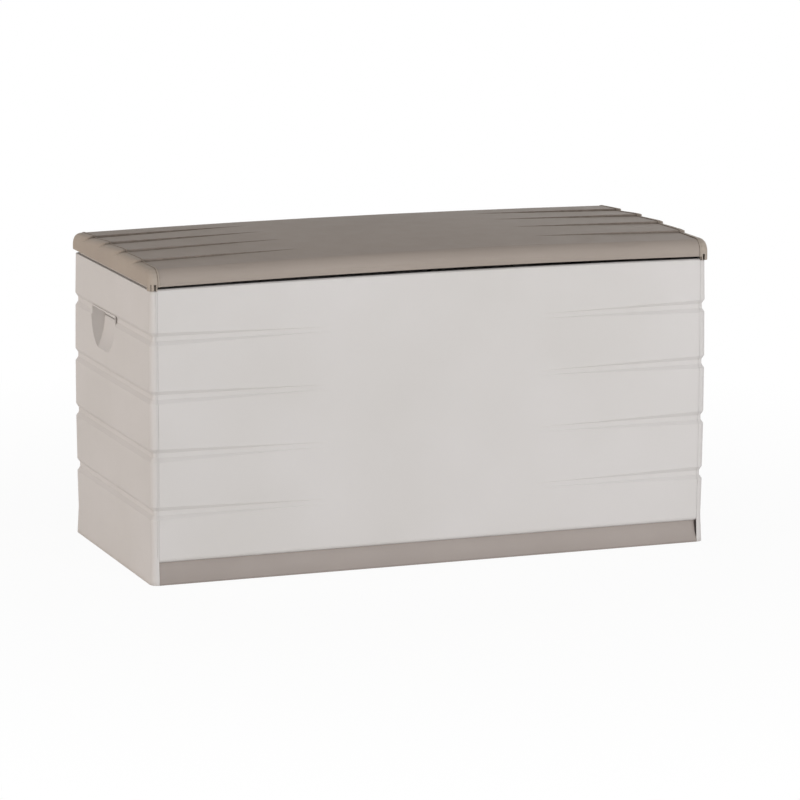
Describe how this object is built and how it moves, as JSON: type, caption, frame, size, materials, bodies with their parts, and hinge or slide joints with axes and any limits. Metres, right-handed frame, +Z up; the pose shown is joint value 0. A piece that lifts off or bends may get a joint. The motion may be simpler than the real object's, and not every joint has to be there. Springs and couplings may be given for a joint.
{
  "type": "outdoor storage box",
  "caption": "Flat-pack resin deck box with grooved walls, scooped hand grips, recessed base and a crowned, lapped lid on two rear hinges",
  "frame": {"origin": "centre of the footprint on the floor", "axes": "X along the box to its right end, Y from the front panel to the back panel, Z up"},
  "size_m": [1.2, 0.5424, 0.6474],
  "materials": {
    "body_resin": "fine-grained satin polypropylene, warm light grey",
    "base_resin": "fine-grained satin polypropylene, taupe",
    "lid_resin": "fine-grained matte polypropylene, taupe",
    "cap_resin": "fine-grained satin polypropylene, light taupe",
    "hinge_resin": "smooth moulded nylon, dark taupe",
    "pin_steel": "drawn stainless rod",
    "fastener_steel": "zinc-plated steel"
  },
  "bodies": {
    "chest": {"base_panel": "base_resin", "left_side_panel": "body_resin", "right_side_panel": "body_resin", "front_panel": "body_resin", "back_panel": "body_resin", "left_hinge_bracket": "hinge_resin", "right_hinge_bracket": "hinge_resin", "left_hinge_screws": "fastener_steel", "right_hinge_screws": "fastener_steel", "left_base_screws": "fastener_steel", "right_base_screws": "fastener_steel", "front_left_corner_screws": "fastener_steel", "front_right_corner_screws": "fastener_steel", "rear_left_corner_screws": "fastener_steel", "rear_right_corner_screws": "fastener_steel"},
    "lid": {"lid_panel": "lid_resin", "left_lid_cap": "cap_resin", "right_lid_cap": "cap_resin", "left_cap_screws": "fastener_steel", "right_cap_screws": "fastener_steel", "left_hinge_pin": "pin_steel", "right_hinge_pin": "pin_steel"}
  },
  "joints": [
    {"name": "lid_hinge", "type": "hinge", "parent": "chest", "child": "lid", "pos_m": [0, 0.262, 0.5995], "axis": [-1, 0, 0], "range_deg": [0, 100]}
  ]
}
